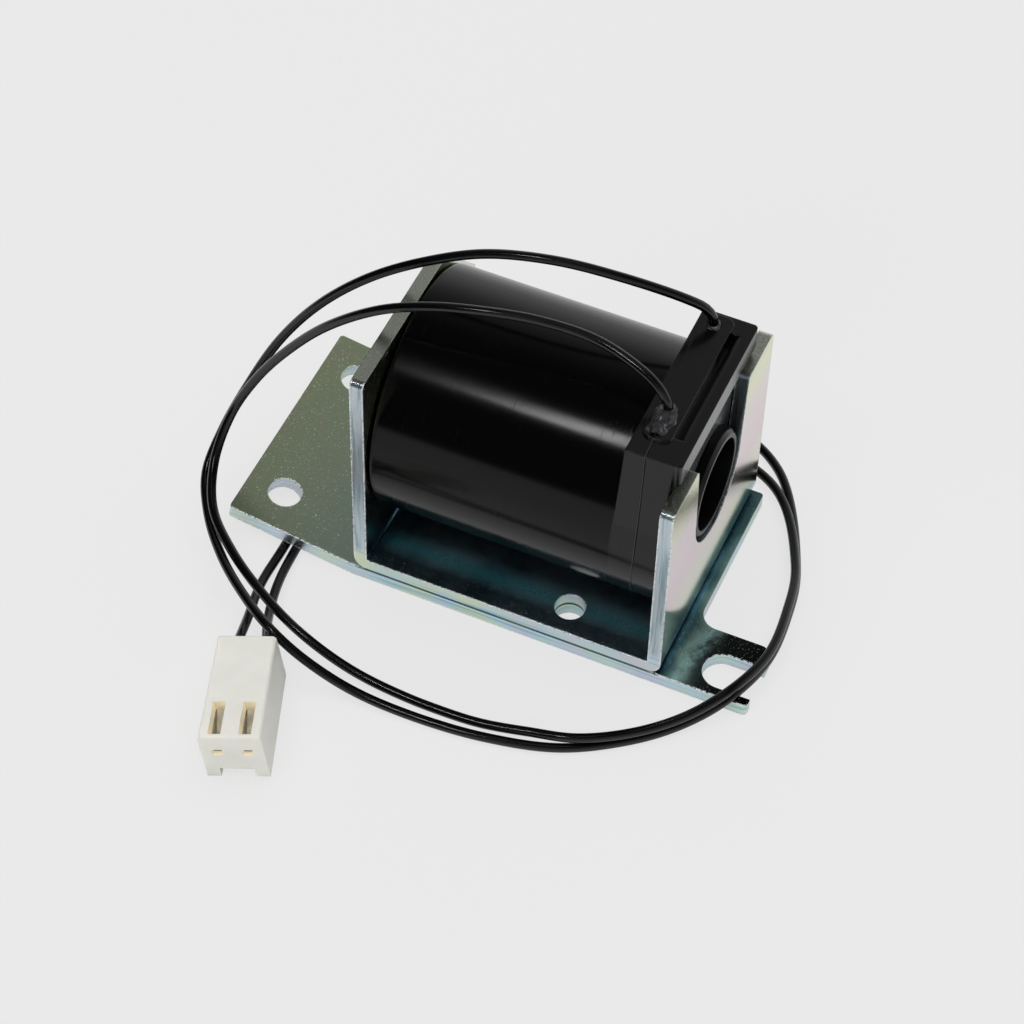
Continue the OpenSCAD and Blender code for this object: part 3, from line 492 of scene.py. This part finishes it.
def lead_insulation():
    """Black PVC insulation: deep black and fairly glossy, with a faint drawn texture."""
    material, tree = new_material("black_pvc_insulation")
    place = add(tree, "TexCoord", out="Object")
    drawn = add(tree, "TexNoise", {"Vector": place, "Scale": per_mm(0.6)})
    finish_material(tree, {
        "Base Color": linear("#020203"), "Specular IOR Level": 0.5,
        "Roughness": add(tree, "MapRange", (drawn, 0, 1, 0.14, 0.24)),
        "Normal": add(tree, "Bump", {"Strength": 0.05, "Distance": GRAIN_DEPTH, "Height": drawn}),
    })
    return material


def natural_nylon():
    """Natural moulded nylon: near white, with a painted amber tint and glow in its hollows, standing in for
    light let through their walls.
    """
    material, tree = new_material("natural_nylon_moulding")
    place = add(tree, "TexCoord", out="Object")
    cloud = add(tree, "TexNoise", {"Vector": place, "Scale": per_mm(4)})
    tint = add(tree, "ValToRGB", (cloud,), stops=[(0.3, "#d9d9d2"), (0.7, "#e0dfd9")])
    # Painted light: hollows found by occlusion get an amber tint and a glow
    open_air = add(tree, "AmbientOcclusion", {"Distance": 2.5 * MM}, "AO", samples=12, only_local=True)
    hollow_glow = add(tree, "MapRange", (open_air, 0.8, 0.3))
    finish_material(tree, {
        "Base Color": add(tree, "Mix", {0: hollow_glow, MIX_A: tint, MIX_B: linear("#e6d8b6")}, MIX_OUT,
                          data_type="RGBA"),
        "Roughness": 0.42, "Emission Color": linear("#efdfbc"),
        "Emission Strength": add(tree, "Math", (hollow_glow, 0.34), operation="MULTIPLY"),
        "Normal": add(tree, "Bump", {
            "Strength": 0.04, "Distance": GRAIN_DEPTH,
            "Height": add(tree, "TexNoise", {"Vector": place, "Scale": per_mm(0.3)}),
            "Normal": add(tree, "Bevel", (EDGE_R,), samples=EDGE_SAMPLES),
        }),
        "Subsurface Weight": 0.6, "Subsurface Radius": (1.0, 0.85, 0.6), "Subsurface Scale": 1.2 * MM,
    })
    return material


def plain_metal(name, light, dark, roughness, metallic=1.0, glow=0.0):
    """Bare or tinned metal with faint cloudy staining; its glow is painted light, standing in for light let
    in by the plug's walls.
    """
    material, tree = new_material(name)
    place = add(tree, "TexCoord", out="Object")
    stain = add(tree, "TexNoise", {"Vector": place, "Scale": per_mm(1.5), "Detail": 3.0})
    tint = add(tree, "ValToRGB", (stain,), stops=[(0.35, dark), (0.65, light)])
    finish_material(tree, {
        "Base Color": tint, "Metallic": metallic, "Emission Color": tint, "Emission Strength": glow,
        "Roughness": add(tree, "MapRange", (stain, 0, 1, roughness - 0.08, roughness + 0.08)),
    })
    return material


def hot_melt():
    """Hot-melt glue: smoky and partly clear, with a lumpy skin that glints."""
    material, tree = new_material("hot_melt_glue")
    place = add(tree, "TexCoord", out="Object")
    lump = add(tree, "TexNoise", {"Vector": place, "Scale": per_mm(0.8), "Detail": 3.0})
    tints = [(0.4, "#141416"), (0.62, "#3c3c40"), (0.75, "#97979b")]
    finish_material(tree, {
        "Base Color": add(tree, "ValToRGB", (lump,), stops=tints), "Roughness": 0.25,
        "Transmission Weight": 0.35, "IOR": 1.48,
        "Normal": add(tree, "Bump", {"Strength": 0.6, "Distance": 0.25 * MM, "Height": lump}),
    })
    return material


# Colours of the passivate: olive flap on the plate, pastel leg on the frame; painted reflection on the ear
# (teal sheen and darkness) and on the frame's floor (patchy teal glow), and the frame's foot darker
# From 0.84 on, the stops paint the ear's reflection: dark teal, a bright teal sheen, then darkness
PLATE_TINTS_AND_EAR_SHEEN = [
    (0.0, "#d8e4c2"), (0.12, "#d2e3c8"), (0.24, "#c8dfd0"), (0.62, "#bdd6c6"), (0.84, "#547078"),
    (0.856, "#6c8e96"), (0.87, "#c4e8e6"), (0.88, "#b4dcd6"), (0.895, "#7c9896"), (0.91, "#566464"),
    (0.93, "#2e3435"), (1.0, "#1c2021"),
]
# The low stops paint a patchy teal glow on the frame's floor, as reflection; the foot is darker
FRAME_TINTS_AND_FLOOR_GLOW = [
    (0.0, "#2c434c"), (0.03, "#3c5c68"), (0.045, "#86aec4"), (0.06, "#c8ecff"), (0.075, "#ccf2fc"),
    (0.1, "#a8ccce"), (0.2, "#dfe2d0"), (0.45, "#e6cfda"), (0.7, "#e6d8de"), (0.88, "#e4e6c0"),
    (1.0, "#d0dcc4"),
]
plate_zinc = zinc_steel(
    "olive_passivated_zinc", drift=(1, 0, 0), reach=(-41 * MM, 34 * MM), wander=0.012, tints=PLATE_TINTS_AND_EAR_SHEEN,
    roughness=0.22, floor_roughness=0.22, sheen_tint="#a9dcdc", sheen_share=0.7,
)
frame_zinc = zinc_steel(
    "pale_passivated_zinc", drift=(0, 0, 1), reach=(SEAM_Z, 36 * MM), wander=0.015, tints=FRAME_TINTS_AND_FLOOR_GLOW,
    roughness=0.12, floor_roughness=0.3, sheen_tint="#58c0d0", sheen_share=1.3,
)
cover_black = cover_moulding()
bobbin_black = smooth_plastic("satin_black_nylon", "#040405", roughness=0.35, specular=0.3)
amber_tape = smooth_plastic("amber_polyester_tape", "#b08a35", roughness=0.3)
pvc = lead_insulation()
nylon = natural_nylon()
glue = hot_melt()
glue_string = smooth_plastic("hot_melt_string", "#3a3a3e", roughness=0.35)
core_steel = plain_metal("turned_plated_steel", "#c9cccd", "#a3a7a8", roughness=0.3)
# The contacts' glow is painted light, for light let through the plug's walls
contact_metal = plain_metal("tinned_brass", "#aca795", "#8a8575", roughness=0.5, metallic=0.2, glow=0.2)
terminal_brass = plain_metal("bare_brass", "#d2b060", "#a8863c", roughness=0.3)
copper_wire = plain_metal("enamelled_copper", "#b8683a", "#8f4a22", roughness=0.35)

NODE_MATERIALS = {
    "base_plate": plate_zinc,
    "c_frame": frame_zinc,
    "coil_cover": cover_black,
    "bobbin": bobbin_black,
    "winding": copper_wire,
    "insulation_wrap": amber_tape,
    "terminal_near": terminal_brass,
    "terminal_far": terminal_brass,
    "pole_piece": core_steel,
    "plunger": core_steel,
    "connector_housing": nylon,
    "contact_near": contact_metal,
    "contact_far": contact_metal,
}
for node_name, material in NODE_MATERIALS.items():
    slots = nodes[node_name].data.materials
    slots.clear()
    slots.append(material)


def add_lead(name, route, node):
    """A lead swept along its smoothed route, that ends in the plug."""
    path = smooth_path(route, LEAD_STEP)
    path[:, 2] = np.maximum(path[:, 2], LEAD_D / 2)
    path *= MM
    lead = add_piece(name, *tube(path, LEAD_D / 2 * MM), pvc)
    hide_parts(node)


add_lead("lead_far", FAR_ROUTE, "lead_wire_far")
add_lead("lead_near", NEAR_ROUTE, "lead_wire_near")


# How far the lumps of a glue dab stand out, as a share of its radius
LUMP_SHARE = 0.1


def blob(centre, radii, height, lumps, seed, rings=28, around=48):
    """A lumpy dome: at height u the ring's radius is (1 - u^2)^0.5 times (1 + LUMP_SHARE * waves)."""
    u = np.linspace(0, 1, rings)[:, None]
    a = np.linspace(0, 2 * np.pi, around, endpoint=False)[None, :]
    phases = np.random.default_rng(seed).uniform(0, 2 * np.pi, (lumps, 2))
    waves = sum(
        np.sin((k + 2) * a + p + 3 * u) * np.cos((k + 1) * 2 * u + q) for k, (p, q) in enumerate(phases)
    )
    swell = (1 + LUMP_SHARE * waves) * np.sqrt(np.clip(1 - u ** 2, 0, 1))
    x = centre[0] + radii[0] * swell * np.cos(a)
    y = centre[1] + radii[1] * swell * np.sin(a)
    z = centre[2] + height * u + 0 * a
    points = np.stack([x, y, z], axis=-1).reshape(-1, 3) * MM
    return points, grid_faces(rings, around) + [list(range(around))[::-1]]


def add_glue(name, shape, node):
    """A dab of glue in place of the plain cone in the CAD part."""
    dab = add_piece(name, *shape, glue)
    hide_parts(node)


near_dab = blob(centre=(16.3, -6.8, BLOCK_TOP), radii=(1.75, 2.7), height=1.4, lumps=5, seed=3)
far_dab = blob(centre=(16.2, 10.8, BLOCK_TOP), radii=(1, 1.1), height=0.7, lumps=3, seed=7)
add_glue("glue_dab_near", near_dab, "glue_near")
add_glue("glue_dab_far", far_dab, "glue_far")

# A hair of glue pulled off the near dab, over the block's near shoulder and down the barrel, in millimetres
HAIR_R = 0.05
HAIR_STEP = 0.5
HAIR_SIDES = 8
GLUE_HAIR = [
    [16.3, -9, 39.4], [16.4, -11.5, 39.15], [16.5, -13.2, 39.15], [16.55, -13.6, 38.4], [16.8, -14.7, 33.6],
    [17, -15.8, 29], [17.15, -16.95, 23.8], [16.8, -16.2, 17.1], [16.15, -13.5, 11.9],
]
hair_path = smooth_path(GLUE_HAIR, HAIR_STEP) * MM
hair = add_piece("glue_hair", *tube(hair_path, HAIR_R * MM, HAIR_SIDES), glue_string)

# Floor: half its width in metres, and the share of its own colour in view and in reflections
FLOOR_HALF = 3.0
FLOOR_IN_VIEW = 0.86
FLOOR_IN_GLOSS = 0.5

# The room's pale backdrops, as ranges of the direction's parts, and the shares of the two dimmer ones
BACKDROP_Z = (0.95, 0.3)
FAR_X = (-0.8, -0.4)
FAR_Y = (-0.2, 0.3)
NEAR_X = (-0.17, -0.02)
NEAR_Y = (-0.1, -0.5)
NEAR_SHARE = 0.6
OVERHEAD_Z = (0.98, 0.99)
OVERHEAD_SHARE = 0.55


def add_floor():
    """A wide pale floor: mostly its own pale colour as seen, and partly lit, so that soft shadows stay."""
    half = FLOOR_HALF
    corners = [[-half, -half, 0], [half, -half, 0], [half, half, 0], [-half, half, 0]]
    material, tree = new_material("pale_studio_floor")
    lit = add(tree, "BsdfDiffuse", {"Color": linear("#e6e6e5")})
    plain = add(tree, "Emission", {"Color": linear("#e9e9e9")})
    seen = add(tree, "LightPath", out="Is Camera Ray")
    glossy = add(tree, "LightPath", out="Is Glossy Ray")
    through = add(tree, "LightPath", out="Is Transmission Ray")
    passed_on = add(tree, "Math", (glossy, through), operation="MAXIMUM")
    in_view = add(tree, "Math", (seen, FLOOR_IN_VIEW), operation="MULTIPLY")
    in_gloss = add(tree, "Math", (passed_on, FLOOR_IN_GLOSS), operation="MULTIPLY")
    share = add(tree, "Math", (in_view, in_gloss), operation="MAXIMUM")
    add(tree, "OutputMaterial", {"Surface": add(tree, "MixShader", (share, lit, plain))})
    mesh = bpy.data.meshes.new("floor")
    mesh.from_pydata(corners, [], [[0, 1, 2, 3]])
    mesh.materials.append(material)
    floor = bpy.data.objects.new("floor", mesh)
    bpy.context.scene.collection.objects.link(floor)


def add_world():
    """A dim room with pale backdrops low on the far side and near right, and one overhead; grey in view."""
    world = bpy.data.worlds.new("studio")
    bpy.context.scene.world = world
    world.use_nodes = True
    tree = world.node_tree
    tree.nodes.clear()
    x, y, z = add(tree, "SeparateXYZ", (add(tree, "TexCoord", out="Generated"),), ALL)
    low = add(tree, "MapRange", (z, *BACKDROP_Z))
    far = add(tree, "MapRange", (y, *FAR_Y))
    far = add(tree, "Math", (far, add(tree, "MapRange", (x, *FAR_X))), operation="MULTIPLY")
    near = add(tree, "MapRange", (y, *NEAR_Y, 0, NEAR_SHARE))
    near = add(tree, "Math", (near, add(tree, "MapRange", (x, *NEAR_X))), operation="MULTIPLY")
    backdrop = add(tree, "Math", (far, near), operation="MAXIMUM")
    share = add(tree, "Math", (low, backdrop), operation="MULTIPLY")
    overhead = add(tree, "MapRange", (z, *OVERHEAD_Z, 0, OVERHEAD_SHARE))
    share = add(tree, "Math", (share, overhead), operation="MAXIMUM")
    glow = add(tree, "Mix", {0: share, MIX_A: linear("#313234"), MIX_B: linear("#ebebe9")}, MIX_OUT,
               data_type="RGBA")
    seen = add(tree, "LightPath", out="Is Camera Ray")
    through = add(tree, "LightPath", out="Is Transmission Ray")
    plain = add(tree, "Math", (seen, through), operation="MAXIMUM")
    colour = add(tree, "Mix", {0: plain, MIX_A: glow, MIX_B: linear("#e9e9e8")}, MIX_OUT, data_type="RGBA")
    add(tree, "OutputWorld", {"Surface": add(tree, "Background", {"Color": colour})})


def add_lamp(name, place, aim, size, watts, in_gloss=True):
    """A rectangular soft lamp, in metres, that points at the aim."""
    data = bpy.data.lights.new(name, "AREA")
    data.shape = "RECTANGLE"
    data.size, data.size_y = size
    data.energy = watts
    lamp = bpy.data.objects.new(name, data)
    lamp.location = place
    lamp.rotation_euler = (Vector(aim) - Vector(place)).to_track_quat("-Z", "Y").to_euler()
    lamp.visible_glossy = in_gloss
    bpy.context.scene.collection.objects.link(lamp)


add_floor()
add_world()
add_lamp("key_lamp", place=(-0.146, -0.35, 0.63), aim=(0, 0, 0.02), size=(0.04, 0.12), watts=0.42)
add_lamp("front_fill", place=(-0.4, -1.5, 0.5), aim=(0, 0, 0), size=(1.2, 0.8), watts=9, in_gloss=False)
add_lamp("overhead_fill", place=(0, 0.1, 1.6), aim=(0, 0, 0), size=(2.2, 2.2), watts=29, in_gloss=False)
bpy.context.scene.view_settings.view_transform = "Standard"
